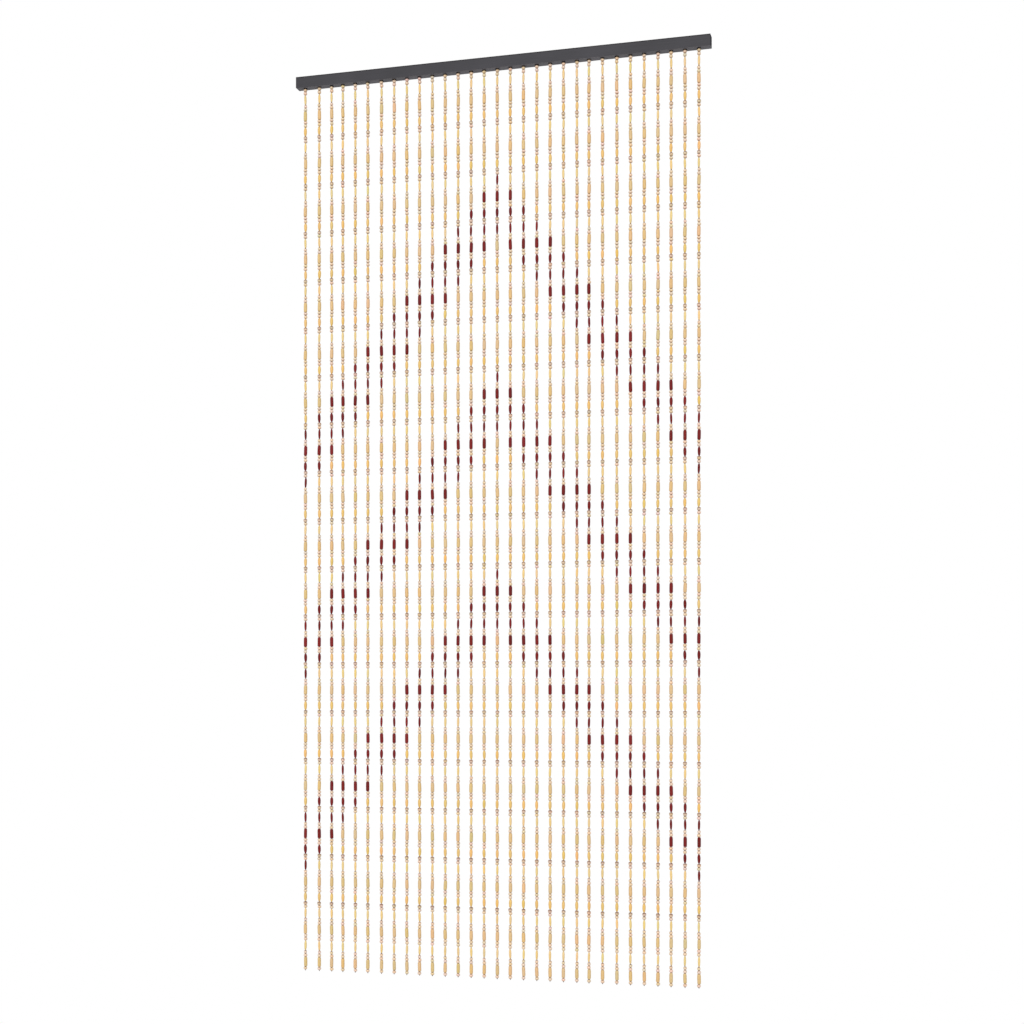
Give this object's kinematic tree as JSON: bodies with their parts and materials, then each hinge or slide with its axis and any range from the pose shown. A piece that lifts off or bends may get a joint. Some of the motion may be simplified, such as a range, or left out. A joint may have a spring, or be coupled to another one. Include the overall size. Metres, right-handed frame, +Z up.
{
  "type": "bead curtain with rail",
  "caption": "Doorway curtain of turned wooden beads on hanging strands, plain wood with dark red chevrons, fastened in a painted batten rail.",
  "frame": {"origin": "middle of the rail's top face", "axes": "+Z up, the strands hang towards -Z; +X along the rail; -Y faces the viewer, +Y is the back of the rail"},
  "size_m": [0.917, 0.0206, 1.97],
  "materials": {
    "rail_paint": "dark grey paint, satin",
    "bead_wood": "turned wood, satin varnish"
  },
  "bodies": {
    "root": {"rail": "rail_paint", "strand_01": "bead_wood", "strand_02": "bead_wood", "strand_03": "bead_wood", "strand_04": "bead_wood", "strand_05": "bead_wood", "strand_06": "bead_wood", "strand_07": "bead_wood", "strand_08": "bead_wood", "strand_09": "bead_wood", "strand_10": "bead_wood", "strand_11": "bead_wood", "strand_12": "bead_wood", "strand_13": "bead_wood", "strand_14": "bead_wood", "strand_15": "bead_wood", "strand_16": "bead_wood", "strand_17": "bead_wood", "strand_18": "bead_wood", "strand_19": "bead_wood", "strand_20": "bead_wood", "strand_21": "bead_wood", "strand_22": "bead_wood", "strand_23": "bead_wood", "strand_24": "bead_wood", "strand_25": "bead_wood", "strand_26": "bead_wood", "strand_27": "bead_wood", "strand_28": "bead_wood", "strand_29": "bead_wood", "strand_30": "bead_wood", "strand_31": "bead_wood"}
  },
  "joints": []
}
